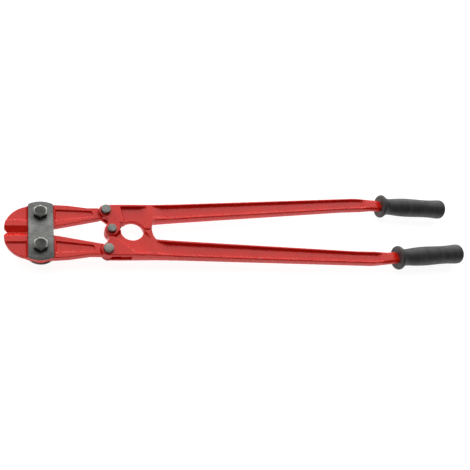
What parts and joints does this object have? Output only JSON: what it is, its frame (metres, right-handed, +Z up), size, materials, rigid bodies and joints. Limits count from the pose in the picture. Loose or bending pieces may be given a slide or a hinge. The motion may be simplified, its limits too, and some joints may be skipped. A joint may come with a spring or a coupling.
{
  "type": "bolt cutter",
  "caption": "Compound-lever bolt cutter lying flat: forged red arms and jaws, bolted side plates, link pins, a half-lap centre pivot and flared rubber grips.",
  "frame": {"origin": "under the middle of the tool's length, on the plane it lies on, midway between the arms", "axes": "+X along the tool from the jaws to the grips, +Z up out of the front plate, +Y across towards the upper arm"},
  "size_m": [0.7642, 0.1472, 0.0412],
  "materials": {
    "red_enamel": "glossy red enamel on forged steel, slightly uneven",
    "plate_steel": "matt grey phosphated steel plate",
    "pin_steel": "grey phosphated pin heads with worn rims",
    "dark_steel": "blackened steel fasteners with bright worn chamfers",
    "grip_rubber": "matt dark grey rubber with fine rings"
  },
  "bodies": {
    "lower_arm": {"lower_arm": "red_enamel", "lower_grip": "grip_rubber", "lower_link_pin": "pin_steel", "lower_link_washer": "dark_steel", "lower_link_nut": "dark_steel", "centre_pivot_pin": "pin_steel", "centre_pivot_washer": "dark_steel", "centre_pivot_nut": "dark_steel"},
    "upper_arm": {"upper_arm": "red_enamel", "upper_grip": "grip_rubber", "upper_link_pin": "pin_steel", "upper_link_washer": "dark_steel", "upper_link_nut": "dark_steel", "pivot_lock_screw": "dark_steel"},
    "lower_jaw": {"lower_jaw": "red_enamel"},
    "plates": {"front_plate": "plate_steel", "rear_plate": "plate_steel", "upper_jaw_bolt": "dark_steel", "lower_jaw_bolt": "dark_steel", "upper_jaw_washer": "dark_steel", "lower_jaw_washer": "dark_steel", "upper_jaw_nut": "dark_steel", "lower_jaw_nut": "dark_steel"},
    "upper_jaw": {"upper_jaw": "red_enamel"}
  },
  "joints": [
    {"name": "arms_open", "type": "hinge", "parent": "lower_arm", "child": "upper_arm", "pos_m": [-0.23212, 0, 0.0206], "axis": [0, 0, 1], "range_deg": [0, 90]},
    {"name": "lower_jaw_link", "type": "hinge", "parent": "lower_arm", "child": "lower_jaw", "pos_m": [-0.23892, -0.0335, 0.0206], "axis": [0, 0, 1], "range_deg": [0, 53]},
    {"name": "plates_turn", "type": "hinge", "parent": "lower_jaw", "child": "plates", "pos_m": [-0.33282, -0.0271, 0.0206], "axis": [0, 0, 1], "range_deg": [-8, 0]},
    {"name": "upper_jaw_turn", "type": "hinge", "parent": "plates", "child": "upper_jaw", "pos_m": [-0.33282, 0.0271, 0.0206], "axis": [0, 0, 1], "range_deg": [-8, 0]}
  ],
  "couplings": [
    {"joint": "lower_jaw_link", "follows": "arms_open", "ratio": 0.5888},
    {"joint": "plates_turn", "follows": "arms_open", "ratio": -0.0888},
    {"joint": "upper_jaw_turn", "follows": "arms_open", "ratio": -0.0888}
  ]
}
